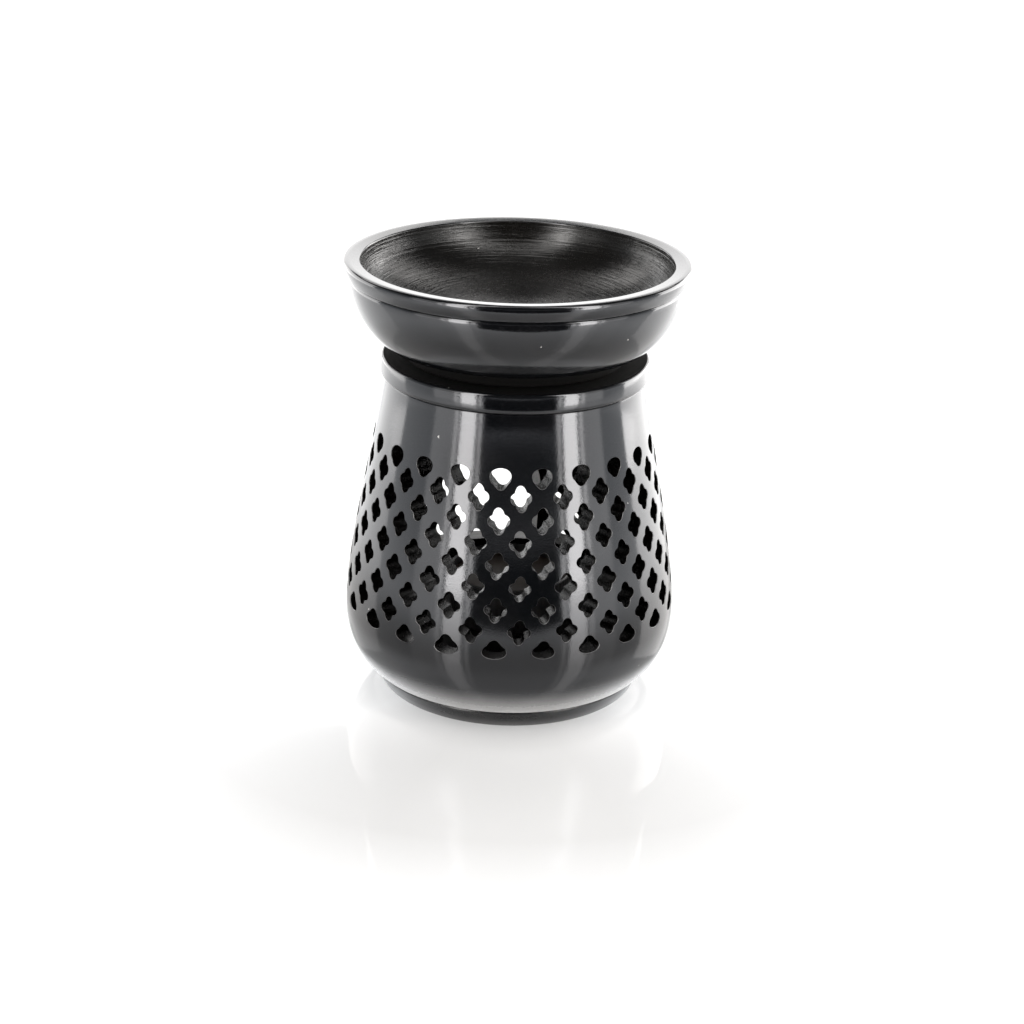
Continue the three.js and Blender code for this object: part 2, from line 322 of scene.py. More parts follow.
# The disc's foot is lighter grey towards the table: a painted reflection of the bright floor.
matt_soapstone = stone_finish(
    "matt_soapstone", dark=(0.003, 0.003, 0.0035), light=(0.008, 0.008, 0.009), roughness=(0.26, 0.42),
    relief=(0.03, 0.01, 0.03), pitch=1100.0, index=1.50, specks=0.010, flecks=0.10, painted_reflection=(0, 4, 0.2))
# Dark matt stone: soot above the flame under the dish, and painted shade on the body's ledge under the dish and
# on the chamber floor.
soot_and_shade_soapstone = stone_finish(
    "soot_and_shade_soapstone", dark=(0.0015, 0.0014, 0.0014), light=(0.0032, 0.0030, 0.0028), roughness=(0.80, 0.95),
    relief=(0.02, 0.0, 0.10), pitch=900.0, index=1.20, specks=0.02, flecks=0.02)

disc_outline = [(0, 0), (disc_foot_radius - disc_break, 0)]
disc_outline += curve(4, (disc_foot_radius - disc_break, 0), (disc_foot_radius, 0),
                      (disc_foot_radius + disc_foot_lean, disc_break))
disc_outline += curve(6, (disc_top_radius - disc_top_lean, disc_height - disc_shoulder),
                      (disc_top_radius, disc_height - disc_shoulder_drop),
                      (disc_top_radius - disc_shoulder, disc_height))
disc_outline += [(plug_radius, disc_height), (plug_radius, plug_top - plug_break),
                 (plug_radius - plug_break, plug_top), (0, plug_top)]
base_disc = turn("base_disc", disc_outline, disc_steps)
base_disc.data.materials.append(matt_soapstone)
base_disc.data.materials.append(soot_and_shade_soapstone)
# The chamber floor gets the dark matt finish: painted shade.
for face in base_disc.data.polygons:
    if face.center.z > dark_floor_level * mm:
        face.material_index = 1
smooth(base_disc, degrees=32)
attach(base_disc, "burner")
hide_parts("base_plate")

# Lattice body. Black soapstone turned hollow on a lathe, oiled and polished outside. The rows of four-lobed
# holes and the doorway behind are cut through the wall by hand with drill and file, so no two holes are
# quite alike.
body_bottom = 6.3
body_foot_radius = 44.2
belly_pull_radius = 47.6
belly_pull_level = 9.1
belly_turn_level = 15.2
belly_radius = 51.7
belly_level = 25.0
swell_level = 43.7
neck_radius = 40.6
neck_level = 89.2
flank_top = 99.9
flank_top_radius = 40.0
collar_groove = 0.4
collar_radius = 41.25
collar_level = 102.0
collar_ease = 2.6
ledge_radius = 40.75
ledge_lean = 0.15
ledge_level = 106.4
ledge_round = 0.5
chamber_radius = 44.7
chamber_neck_radius = 33.6
chamber_floor = 20.0
chamber_round = 4.0
bottom_opening = 37.0
mouth_radius = 30.0
mouth_break = 0.4
mouth_bottom = 98.0
body_steps = 264

foot_start = (body_foot_radius - 0.35, body_bottom)
foot_end = (body_foot_radius + 0.3, body_bottom + 0.25)
belly = (belly_radius, belly_level)
below_belly = [foot_start]
below_belly += curve(3, foot_start, (body_foot_radius, body_bottom), foot_end)
below_belly += curve(18, foot_end, (belly_pull_radius, belly_pull_level), (belly_radius, belly_turn_level),
                     belly)
flank = curve(36, belly, (belly_radius, swell_level), (neck_radius, neck_level), (flank_top_radius, flank_top))
groove_end = (flank_top_radius - collar_groove, flank_top + 0.35)
ledge_edge = (ledge_radius + ledge_lean, ledge_level - ledge_round)
collar = curve(4, (flank_top_radius, flank_top), (flank_top_radius, flank_top + 0.3), groove_end)
collar += curve(8, groove_end, (collar_radius, flank_top + 0.5), (collar_radius, collar_level))
collar += curve(10, (collar_radius, collar_level), (collar_radius, ledge_level - collar_ease), ledge_edge)
collar += curve(5, ledge_edge, (ledge_radius, ledge_level), (ledge_radius - ledge_round, ledge_level))
outside = below_belly + flank + collar
inside = [(mouth_radius + mouth_break, ledge_level), (mouth_radius, ledge_level - mouth_break),
          (mouth_radius, mouth_bottom)]
inside += curve(14, (mouth_radius, mouth_bottom), (chamber_neck_radius, neck_level),
                (chamber_radius, swell_level), (chamber_radius, belly_level))
inside += curve(4, (chamber_radius, belly_level), (chamber_radius, chamber_floor),
                (chamber_radius - chamber_round, chamber_floor))
inside += [(bottom_opening, chamber_floor), (bottom_opening, body_bottom)]
lattice_body = turn("lattice_body", [(bottom_opening, body_bottom)] + outside + inside, body_steps)

# The belly is lighter grey towards its foot: a painted reflection of the bright floor.
polished_soapstone = stone_finish(
    "polished_soapstone", dark=(0.0017, 0.0021, 0.0027), light=(0.0046, 0.0047, 0.0052), roughness=(0.08, 0.13),
    relief=(0.003, 0.0, 0.010), pitch=900.0, index=1.57, specks=0.010, flecks=0.04, painted_reflection=(7, 18, 0.9))
polished_shader = polished_soapstone.node_tree.nodes["Principled BSDF"]
polished_shader.inputs["Specular Tint"].default_value = (0.955, 0.965, 1, 1)
cut_soapstone = stone_finish(
    "cut_soapstone", dark=(0.0006, 0.0005, 0.0004), light=(0.0022, 0.0018, 0.0014), roughness=(0.18, 0.34),
    relief=(0.0, 0.0, 0.22), pitch=900.0, index=1.13, specks=0.010, flecks=0.12)
sawn_soapstone = stone_finish(
    "sawn_soapstone", dark=(0.0010, 0.0009, 0.0008), light=(0.0032, 0.0028, 0.0024), roughness=(0.36, 0.60),
    relief=(0.0, 0.0, 0.10), pitch=900.0, index=1.36, specks=0.010, flecks=0.06)
worn_edge = stone_finish(
    "worn_edge", dark=(0.022, 0.022, 0.023), light=(0.110, 0.110, 0.112), roughness=(0.26, 0.45),
    relief=(0.0, 0.0, 0.12), pitch=900.0, index=1.60, specks=0.03, flecks=0.3)
body_finishes = (polished_soapstone, cut_soapstone, worn_edge, soot_and_shade_soapstone, sawn_soapstone)
for finish in body_finishes:
    lattice_body.data.materials.append(finish)
polished_slot, cut_slot, worn_slot, soot_and_shade_slot, sawn_slot = range(len(body_finishes))

hole_columns = 22
hole_rows = 9
row_pitch = 6.625
lowest_row = 29.4
hole_share = 0.49
hole_half_height = 3.9
hole_lean = 5
hole_size_spread = 0.05
valley_reach = 2.5
end_valley_reach = 3.0
lobe_taper = 1.4
dome_rise = 2.2
foot_drop = 1.9
outline_places = 40
tunnel = 11.5
tunnel_slope = 0.10
tunnel_flare = 1.16
edge_break = 0.18
edge_spread = 1.08
hole_stand_out = 2.0
skin = 2.0
carving = random.Random(11)


def wall_radius(level):
    """Radius of the outside at a height in millimetres."""
    for low, high in zip(outside, outside[1:]):
        if low[1] <= level <= high[1] and high[1] > low[1]:
            return low[0] + (high[0] - low[0]) * (level - low[1]) / (high[1] - low[1])
    return flank_top_radius


# The ledge under the dish gets the dark matt finish, painted shade where the dish overhangs it; the inside of
# the wall gets cut stone.
for face in lattice_body.data.polygons:
    reach = math.hypot(face.center.x, face.center.y) / mm
    level = face.center.z / mm
    if level > ledge_level - 0.1 and reach < ledge_radius - ledge_round:
        face.material_index = soot_and_shade_slot
    elif reach < wall_radius(level) - skin:
        face.material_index = cut_slot


def hole_outline(half_width, row):
    """Four round lobes with a sharp valley between each two; a low dome or a flat foot in the end rows."""
    places = []
    valley = end_valley_reach if row in (0, hole_rows - 1) else valley_reach
    for step in range(outline_places):
        angle = math.tau * step / outline_places
        across, up = math.cos(angle), math.sin(angle)
        lobe = half_width * across ** 2 + hole_half_height * up ** 2
        reach = valley + (lobe - valley) * abs(math.cos(2 * angle)) ** lobe_taper
        if row == hole_rows - 1 and up > 0:
            reach = 1 / math.hypot(across / half_width, up / dome_rise)
        if row == 0 and up < 0:
            reach = 1 / math.hypot(across / half_width, up / foot_drop)
        places.append((reach * across, reach * up))
    return places


def plug_cutter(name, places, depth, flare, spread, stand_out, inner_slot):
    """A plug with an outline's shape, wider at its inner end by the flare.

    It spreads where it leaves the wall, to break the edge, and stands out from the wall.
    """
    deselect_everything()
    bpy.ops.mesh.primitive_circle_add(vertices=len(places), radius=mm, fill_type="NGON")
    plug = bpy.context.object
    plug.name = name
    for vertex, (across, up) in zip(plug.data.vertices, places):
        vertex.co = (across * flare * mm, up * flare * mm, -depth * mm)
    bpy.ops.object.mode_set(mode="EDIT")
    bpy.ops.mesh.select_all(action="SELECT")
    for move, grow in ((depth - edge_break, 1 / flare), (2 * edge_break, spread), (stand_out, 1.0)):
        bpy.ops.mesh.extrude_region_move(TRANSFORM_OT_translate={"value": (0, 0, move * mm)})
        bpy.ops.transform.resize(value=(grow, grow, 1))
    bpy.ops.mesh.select_all(action="SELECT")
    bpy.ops.mesh.normals_make_consistent(inside=False)
    bpy.ops.object.mode_set(mode="OBJECT")
    for finish in body_finishes:
        plug.data.materials.append(finish)
    for face in plug.data.polygons:
        face.material_index = worn_slot if face.center.z > -edge_break * mm else inner_slot
    return plug


def seat_cutter(plug, angle, level, slope):
    """Follows the turned wall with a cutter: its flat end goes to the wall's curve at an angle and a height.

    The slope is how much the tunnel falls on its way in.
    """
    outward = Vector((-math.sin(angle), math.cos(angle), 0))
    sideways = Vector((-math.cos(angle), -math.sin(angle), 0))
    for vertex in plug.data.vertices:
        across, up, depth = vertex.co
        radius = wall_radius(level + up / mm) * mm
        reach = math.sqrt(max(radius ** 2 - across ** 2, 0)) + depth
        vertex.co = outward * reach + sideways * across + Vector((0, 0, level * mm + up + depth * slope))


arch_radius = 23.0
arch_places = 36
sill_level = 27.2
sill_places = 12
spring_level = 46.0
door_frame = 3.0
door_depth = 30.0
door_spread = 1.01
door_stand_out = 16.0


def distance_to_doorway(across, level):
    if level > spring_level:
        return math.hypot(across, level - spring_level) - arch_radius
    return math.hypot(max(abs(across) - arch_radius, 0), max(sill_level - level, 0))


column_angle = math.tau / hole_columns
cutters = []
for row in range(hole_rows):
    level = lowest_row + row * row_pitch
    radius = wall_radius(level)
    half_width = hole_share * radius * column_angle / 2
    model = plug_cutter(f"hole_model_{row}", hole_outline(half_width, row), tunnel, tunnel_flare, edge_spread,
                        hole_stand_out, cut_slot)
    for column in range(hole_columns):
        angle = (column + (0.5 if row % 2 == 0 else 0.0)) * column_angle
        lean = math.radians(carving.uniform(-hole_lean, hole_lean))
        size = carving.uniform(1 - hole_size_spread, 1 + hole_size_spread)
        clear = distance_to_doorway(radius * math.sin(angle), level) - max(half_width, hole_half_height)
        if math.cos(angle) > 0 and clear < door_frame:
            continue
        hole = model.copy()
        hole.data = model.data.copy()
        bpy.context.collection.objects.link(hole)
        hole.data.transform(Matrix.Rotation(lean, 4, "Z") @ Matrix.Diagonal((size, size, 1, 1)))
        seat_cutter(hole, angle, level, tunnel_slope)
        cutters.append(hole)
    bpy.data.objects.remove(model)

deselect_everything()
for hole in cutters:
    hole.select_set(True)
bpy.context.view_layer.objects.active = cutters[0]
bpy.ops.object.join()
lattice_cutter = bpy.context.object

door_mid = (sill_level + spring_level) / 2
sill_drop = sill_level - door_mid
spring_rise = spring_level - door_mid
arch_angles = [math.pi * k / arch_places for k in range(arch_places + 1)]
door_outline = [(arch_radius * (k / sill_places - 1), sill_drop) for k in range(2 * sill_places + 1)]
door_outline += [(arch_radius, 0)]
door_outline += [(arch_radius * math.cos(a), spring_rise + arch_radius * math.sin(a)) for a in arch_angles]
door_outline += [(-arch_radius, 0)]
door_cutter = plug_cutter("door_cutter", door_outline, door_depth, 1.0, door_spread, door_stand_out, sawn_slot)
seat_cutter(door_cutter, 0.0, door_mid, 0.0)


def cut(piece, cutter):
    modifier = piece.modifiers.new("cut", "BOOLEAN")
    modifier.operation = "DIFFERENCE"
    modifier.solver = "MANIFOLD"
    modifier.object = cutter
    deselect_everything()
    piece.select_set(True)
    bpy.context.view_layer.objects.active = piece
    bpy.ops.object.modifier_apply(modifier=modifier.name)
    bpy.data.objects.remove(cutter)


cut(lattice_body, lattice_cutter)
cut(lattice_body, door_cutter)
smooth(lattice_body, degrees=28)
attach(lattice_body, "burner")
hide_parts("burner_body")

# Foil cup. The tea light's cup, pressed from thin aluminium sheet, lacquered black, with pleats round its
# side and a rolled lip. It stands loose on the chamber floor.
cup_foot = 20.25
cup_radius = 19.0
cup_height = 15.5
cup_top = cup_foot + cup_height
cup_side = cup_radius - 0.1
cup_side_rings = 6
cup_side_height = cup_height - 1.2
cup_skin = 0.5
cup_inside = cup_radius - cup_skin
cup_dent = 0.4
cup_bend = 0.9
cup_lip = 0.4
cup_pleats = 60
pleat_depth = 0.12
pleat_foot = cup_foot + 1.0
pleat_top = cup_top - 1.1
pleat_reach = cup_radius - 0.2
cup_steps = 240
cup_outline = [(0, cup_foot + cup_dent), (cup_radius - 3.2, cup_foot + cup_dent), (cup_radius - 2.6, cup_foot)]
cup_outline += curve(5, (cup_radius - cup_bend, cup_foot), (cup_side, cup_foot),
                     (cup_side, cup_foot + cup_bend))
cup_outline += [(cup_side, cup_foot + ring * cup_side_height / cup_side_rings)
                for ring in range(1, cup_side_rings + 1)]
cup_outline += curve(6, (cup_side, cup_top - 1.0), (cup_radius + cup_lip + 0.15, cup_top - 0.9),
                     (cup_radius + cup_lip, cup_top - 0.35), (cup_radius + 0.1, cup_top))
cup_outline += [(cup_inside, cup_top - 0.4), (cup_inside, cup_foot + cup_dent + cup_skin),
                (0, cup_foot + cup_dent + cup_skin)]
foil_cup = turn("foil_cup", cup_outline, cup_steps)
for vertex in foil_cup.data.vertices:
    reach = math.hypot(vertex.co.x, vertex.co.y)
    if reach > pleat_reach * mm and pleat_foot < vertex.co.z / mm < pleat_top:
        angle = math.atan2(vertex.co.y, vertex.co.x)
        pull = 1 - pleat_depth * mm * (0.5 + 0.5 * math.cos(cup_pleats * angle)) / reach
        vertex.co.x *= pull
        vertex.co.y *= pull
smooth(foil_cup, degrees=40)


def clouded_finish(name, scale, dark, light):
    """A finish whose colour drifts softly between two tones."""
    material, tree, shader = new_finish(name)
    clouds = place_group(tree, soapstone_clouds, Scale=scale)
    tree.links.new(mix_colour(tree, clouds.outputs["Cloud"], dark, light), shader.inputs["Base Color"])
    return material, tree, shader, clouds


def cloud_gloss(tree, shader, clouds, low, high):
    """Lets the gloss drift with the colour."""
    tree.links.new(map_range(tree, clouds.outputs["Cloud"], 0, 1, low, high), shader.inputs["Roughness"])


black_foil, foil_tree, foil_shader, foil_clouds = clouded_finish(
    "black_foil", 120.0, dark=(0.018, 0.018, 0.019), light=(0.035, 0.034, 0.034))
cloud_gloss(foil_tree, foil_shader, foil_clouds, 0.30, 0.50)
foil_relief = bump(foil_tree, foil_clouds.outputs["Grain"], strength=0.3, distance=0.05 * mm)
foil_tree.links.new(foil_relief, foil_shader.inputs["Normal"])
foil_shader.inputs["Metallic"].default_value = 0.6
foil_cup.data.materials.append(black_foil)
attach(foil_cup, "tealight")
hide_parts("tealight_cup")

# Wick tab. A small tinned steel disc with a tube pressed up in its middle, which grips the wick and stands on
# the cup's floor under the wax.
tab_foot = 21.05
tab_radius = 6.0
tab_taper = 0.15
tab_break = 0.2
tab_skin = 0.5
tab_bore = 1.1
tab_neck = 1.8
tab_neck_height = 5.0
tab_fillet = 0.6
tab_steps = 48
tab_top = tab_foot + tab_skin
neck_top = tab_top + tab_neck_height
tab_outline = [(tab_bore, tab_foot), (tab_radius - tab_break, tab_foot), (tab_radius, tab_foot + tab_break)]
tab_outline += [(tab_radius - tab_taper, tab_top), (tab_neck + tab_fillet, tab_top)]
tab_outline += curve(4, (tab_neck + tab_fillet, tab_top), (tab_neck, tab_top), (tab_neck, tab_top + tab_fillet))
tab_outline += [(tab_neck, neck_top - tab_break), (tab_neck - tab_break, neck_top), (tab_bore, neck_top),
                (tab_bore, tab_foot)]
wick_tab = turn("wick_tab", tab_outline, tab_steps)
smooth(wick_tab, degrees=35)
tinned_steel, tin_tree, tin_shader, tin_clouds = clouded_finish(
    "tinned_steel", 300.0, dark=(0.28, 0.28, 0.29), light=(0.45, 0.45, 0.46))
cloud_gloss(tin_tree, tin_shader, tin_clouds, 0.28, 0.45)
tin_shader.inputs["Metallic"].default_value = 1.0
wick_tab.data.materials.append(tinned_steel)
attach(wick_tab, "tealight")
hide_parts("wick_sustainer")

# Wax. Dark scented wax poured round the tab and the wick. It has drawn down a little in the middle as it set,
# and creeps up the cup's side at its edge.
wax_foot = 21.05
wax_radius = 18.2
wax_top = 33.05
wax_dip = 0.6
wax_gap = 0.3
wax_bore = 1.1
wax_steps = 120
tab_room = tab_radius + wax_gap
neck_room = tab_neck + wax_gap
wick_well = (2.5, wax_top - wax_dip)
wax_outline = [(tab_room, wax_foot), (wax_radius, wax_foot), (wax_radius, wax_top)]
wax_outline += curve(10, (wax_radius, wax_top), (wax_radius - 1.2, wax_top - 0.9), (9.0, wax_top - 0.5),
                     wick_well)
wax_outline += curve(4, wick_well, (1.4, wax_top - wax_dip), (wax_bore, wax_top - 0.1))
wax_outline += [(wax_bore, neck_top + wax_gap), (neck_room, neck_top + wax_gap), (neck_room, tab_top + wax_gap),
                (tab_room, tab_top + wax_gap), (tab_room, wax_foot)]
wax_fill = turn("wax_fill", wax_outline, wax_steps)
smooth(wax_fill, degrees=40)
dark_wax, wax_tree, wax_shader, wax_clouds = clouded_finish(
    "dark_wax", 150.0, dark=(0.016, 0.011, 0.008), light=(0.030, 0.021, 0.016))
cloud_gloss(wax_tree, wax_shader, wax_clouds, 0.62, 0.80)
wax_shader.inputs["Specular IOR Level"].default_value = 0.2
wax_relief = bump(wax_tree, wax_clouds.outputs["Cloud"], strength=0.4, distance=0.3 * mm)
wax_tree.links.new(wax_relief, wax_shader.inputs["Normal"])
wax_fill.data.materials.append(dark_wax)
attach(wax_fill, "tealight")
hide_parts("tealight_wax")

# Wick. A braid of three cotton strands, dipped in wax and trimmed to a blunt tip. The tab's tube grips its
# lower end, and the wax holds it upright.
wick_foot = tab_foot
wick_top = 39.55
wick_radius = 0.8
wick_sides = 18
wick_rings = 36
wick_turns = 2.5
wick_strands = 3
strand_middle = 0.84
strand_swell = 0.15
tip_share = 0.97
tip_draw = 0.7
wick_rise = (wick_top - wick_foot) / wick_rings * mm
deselect_everything()
bpy.ops.mesh.primitive_circle_add(vertices=wick_sides, radius=wick_radius * mm, fill_type="NGON",
                                  location=(0, 0, wick_foot * mm))
braided_wick = bpy.context.object
braided_wick.name = "braided_wick"
bpy.ops.object.transform_apply(location=True, rotation=True, scale=True)
bpy.ops.object.mode_set(mode="EDIT")
bpy.ops.mesh.select_all(action="SELECT")
for ring in range(wick_rings):
    bpy.ops.mesh.extrude_region_move(TRANSFORM_OT_translate={"value": (0, 0, wick_rise)})
bpy.ops.mesh.select_all(action="SELECT")
bpy.ops.mesh.normals_make_consistent(inside=False)
bpy.ops.object.mode_set(mode="OBJECT")
for vertex in braided_wick.data.vertices:
    share = (vertex.co.z / mm - wick_foot) / (wick_top - wick_foot)
    angle = math.atan2(vertex.co.y, vertex.co.x)
    strand = math.cos(wick_strands * (angle + math.tau * wick_turns * share))
    reach = wick_radius * (strand_middle + strand_swell * strand) * mm
    if share > tip_share:
        reach *= tip_draw
    vertex.co.x = reach * math.cos(angle)
    vertex.co.y = reach * math.sin(angle)
smooth(braided_wick, degrees=50)
waxed_cotton, cotton_tree, cotton_shader, cotton_clouds = clouded_finish(
    "waxed_cotton", 900.0, dark=(0.060, 0.050, 0.040), light=(0.12, 0.10, 0.085))
cotton_relief = bump(cotton_tree, cotton_clouds.outputs["Cloud"], strength=0.5, distance=0.1 * mm)
cotton_tree.links.new(cotton_relief, cotton_shader.inputs["Normal"])
cotton_shader.inputs["Roughness"].default_value = 0.8
braided_wick.data.materials.append(waxed_cotton)
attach(braided_wick, "tealight")
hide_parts("tealight_wick")

# Oil dish. Turned from the same soapstone, polished outside and left satin inside with the tool's rings. Its
# foot ring stands on the body's ledge, and a spigot under it drops into the mouth so that it can be lifted off.
seat_level = 106.65
spigot_foot = 102.65
spigot_radius = 29.6
spigot_break = 0.4
recess_radius = 25.1
recess_level = 112.25
ring_radius = 34.0
ring_break = 0.3
bowl_foot = 111.35
bowl_foot_radius = 40.5
rim_level = 136.15
rim_radius = 52.5
rim_width = 5.3
rim_inside = rim_radius - rim_width
band_foot = rim_level - 4.8
bowl_floor_level = 120.55
bowl_wall_foot = 118.0
dish_steps = 240
bowl_edge_start = (bowl_foot_radius - 0.8, bowl_foot)
bowl_edge = (bowl_foot_radius + 0.7, bowl_foot + 0.55)
bowl_swell = (48.3, 117.45)
bowl_shoulder = (50.45, band_foot - 3.2)
turned_line = (50.25, band_foot - 0.35)
bowl_lip = (rim_inside, rim_level - 1.1)
dish_outline = [(0, recess_level), (recess_radius, recess_level), (recess_radius, spigot_foot + 0.35)]
dish_outline += [(recess_radius + spigot_break, spigot_foot), (spigot_radius - spigot_break, spigot_foot)]
dish_outline += [(spigot_radius, spigot_foot + spigot_break), (spigot_radius, seat_level)]
dish_outline += [(ring_radius - ring_break, seat_level), (ring_radius, seat_level + ring_break)]
dish_outline += [(ring_radius, bowl_foot), bowl_edge_start]
dish_outline += curve(4, bowl_edge_start, (bowl_foot_radius, bowl_foot), bowl_edge)
dish_outline += curve(22, bowl_edge, bowl_swell, bowl_shoulder)
dish_outline += curve(8, bowl_shoulder, (50.95, band_foot - 0.6), turned_line)
dish_outline += curve(3, turned_line, (51.3, band_foot - 0.2), (51.5, band_foot + 0.4))
dish_outline += curve(12, (51.75, band_foot + 1.3), (52.55, rim_level - 1.7), (52.7, rim_level - 0.3),
                      (rim_radius - 0.9, rim_level))
dish_outline += [(rim_radius - 2.2, rim_level - 0.12), (rim_radius - 3.5, rim_level - 0.24)]
dish_outline += curve(5, (rim_inside + 0.4, rim_level - 0.37), (rim_inside + 0.02, rim_level - 0.42), bowl_lip)
dish_outline += curve(40, bowl_lip, (46.5, 124.6), (36.0, bowl_floor_level), (0, bowl_floor_level))
oil_dish = turn("oil_dish", dish_outline, dish_steps)


def vector_node(tree, operation, first, second=None):
    node = tree.nodes.new("ShaderNodeVectorMath")
    node.operation = operation
    tree.links.new(first, node.inputs[0])
    if second is not None:
        node.inputs[1].default_value = second
    return node.outputs["Value" if operation in ("LENGTH", "DOT_PRODUCT") else "Vector"]


satin_bowl = stone_finish(
    "satin_bowl", dark=(0.0020, 0.0017, 0.0013), light=(0.0044, 0.0038, 0.0030), roughness=(0.22, 0.32),
    relief=(0.24, 0.05, 0.02), pitch=1350.0, index=1.50, specks=0.010, flecks=0.04)
satin_tree = satin_bowl.node_tree
satin_shader = satin_tree.nodes["Principled BSDF"]
groove_world = satin_tree.nodes.new("ShaderNodeVectorTransform")
groove_world.vector_type = "VECTOR"
groove_world.convert_from = "OBJECT"
groove_world.convert_to = "WORLD"
out_from_axis = vector_node(satin_tree, "MULTIPLY", object_place(satin_tree), (1, 1, 0))
satin_tree.links.new(out_from_axis, groove_world.inputs[0])
across_grooves = vector_node(satin_tree, "NORMALIZE", groove_world.outputs[0])
satin_tree.links.new(across_grooves, satin_shader.inputs["Tangent"])
satin_shader.inputs["Anisotropic"].default_value = 0.6
dish_finishes = (polished_soapstone, satin_bowl, soot_and_shade_soapstone)
for finish in dish_finishes:
    oil_dish.data.materials.append(finish)
for face in oil_dish.data.polygons:
    reach = math.hypot(face.center.x, face.center.y) / mm
    level = face.center.z / mm
    if level > bowl_wall_foot and reach < rim_inside + 0.1 and face.normal.z > -0.05:
        face.material_index = dish_finishes.index(satin_bowl)
    # Under the dish the stone is dark and matt: soot over the flame, and painted shade where the dish overhangs
    # the ledge.
    if level < bowl_foot + 0.05 or reach < bowl_foot_radius - 0.5 and level < bowl_floor_level - 1:
        face.material_index = dish_finishes.index(soot_and_shade_soapstone)
smooth(oil_dish, degrees=30)
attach(oil_dish, "dish")
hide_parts("dish")

# Floor. A sheet of white gloss acrylic, laid flat under the warmer, which shows it faintly upside down. Its
# glow is lower near the warmer, most in front of it, as a painted shadow, and white further off. The polished
# stone sees it with a painted dark ring and a painted bright glow close under the belly at the sides.
floor_size = 8
front_glow = 0.18
side_glow = 0.40
far_glow = 0.95
belly_glow = 1.1
front_start, front_full = 0.6, 0.95
camera_azimuth = math.radians(-20.0)
front_side = (math.sin(camera_azimuth), -math.cos(camera_azimuth), 0)
deselect_everything()
bpy.ops.mesh.primitive_plane_add(size=floor_size)
floor = bpy.context.object
floor.name = "floor"
white_acrylic, floor_tree, floor_shader = new_finish("white_acrylic")
floor_shader.inputs["Base Color"].default_value = (0.50, 0.50, 0.50, 1)
floor_shader.inputs["Roughness"].default_value = 0.03
floor_shader.inputs["IOR"].default_value = 1.65
floor_shader.inputs["Emission Color"].default_value = (0.95, 0.975, 1, 1)
floor_place = object_place(floor_tree)
away = vector_node(floor_tree, "LENGTH", floor_place)
front = vector_node(floor_tree, "DOT_PRODUCT", vector_node(floor_tree, "NORMALIZE", floor_place), front_side)
# Painted shadow: near the warmer the floor glows less in front of it than at its sides, and is white further
# off.
near_glow = map_range(floor_tree, front, front_start, front_full, side_glow, front_glow)
glow = map_range(floor_tree, away, 0.11, 0.26, near_glow, far_glow)
# Painted reflection, seen only in the stone: the floor is dark in a ring from about 7.5 to 22 cm out, darkest
# from 9.5 to 12 cm, and glows up to 1.1 close under the belly at its sides.
inside_ring = map_range(floor_tree, away, 0.075, 0.095, 1.0, 0.0)
outside_ring = map_range(floor_tree, away, 0.12, 0.22, 0.0, 1.0)
off_ring = math_node(floor_tree, "MAXIMUM", inside_ring, outside_ring)
under_belly = map_range(floor_tree, away, 0.046, 0.058, belly_glow, 0.0)
beside = map_range(floor_tree, front, front_start, front_full, 1.0, 0.0)
mirrored_glow = math_node(floor_tree, "ADD", math_node(floor_tree, "MULTIPLY", glow, off_ring),
                          math_node(floor_tree, "MULTIPLY", under_belly, beside))
floor_ray = floor_tree.nodes.new("ShaderNodeLightPath").outputs
seen_white = math_node(floor_tree, "MAXIMUM", floor_ray["Is Camera Ray"], floor_ray["Is Transmission Ray"])
floor_strength = math_node(floor_tree, "ADD", math_node(floor_tree, "MULTIPLY", seen_white, glow),
                           math_node(floor_tree, "MULTIPLY", floor_ray["Is Glossy Ray"], mirrored_glow))
floor_tree.links.new(floor_strength, floor_shader.inputs["Emission Strength"])
floor.data.materials.append(white_acrylic)

# Studio. Two tall soft boxes stand in front, to the left and right of the camera, and lean in over the dish.
# The room between them is dark, with a black card on the floor that casts no shadow and that the camera doesn't
# see: a painted dark reflection in the stone. Behind and beside the warmer all is white.
lamp_colour = (1.0, 0.975, 0.95)


def aim(box, place, facing):
    box.matrix_world = Matrix.Translation(place) @ facing.to_track_quat("-Z", "Y").to_matrix().to_4x4()


def soft_box(name, off_axis, distance, width, height, radiance):
    """A standing lamp facing the warmer, placed by its angle from the camera's side, with its brightness."""
    lamp = bpy.data.lights.new(name, "AREA")
    lamp.shape = "RECTANGLE"
    lamp.size = width
    lamp.size_y = height
    lamp.energy = radiance * math.pi * width * height
    lamp.color = lamp_colour
    box = bpy.data.objects.new(name, lamp)
    bpy.context.collection.objects.link(box)
    angle = camera_azimuth + math.radians(off_axis)
    outward = Vector((math.sin(angle), -math.cos(angle), 0))
    aim(box, outward * distance + Vector((0, 0, height / 2)), -outward)
    return box


for name, off_axis, distance, width, height, radiance in (
        ("left_box", -36.5, 0.45, 0.10, 0.60, 11.0),
        ("left_inner_lip", -26.6, 0.455, 0.020, 0.60, 5.0),
        ("left_outer_lip", -46.4, 0.455, 0.024, 0.60, 4.0),
        ("left_wash", -57.0, 0.50, 0.18, 0.42, 1.2),
        ("right_box", 46.0, 0.45, 0.095, 0.60, 12.0),
        ("right_inner_lip", 36.4, 0.455, 0.020, 0.60, 5.0),
        ("right_outer_lip", 55.6, 0.455, 0.024, 0.60, 5.0),
        ("right_wash", 66.0, 0.50, 0.16, 0.42, 1.3),
        ("left_screen", -125.0, 0.55, 0.50, 0.35, 3.4),
        ("back_screen", 180.0, 1.6, 1.6, 0.85, 2.0),
        ("right_screen", 125.0, 0.55, 0.50, 0.35, 7.0)):
    soft_box(name, off_axis, distance, width, height, radiance)


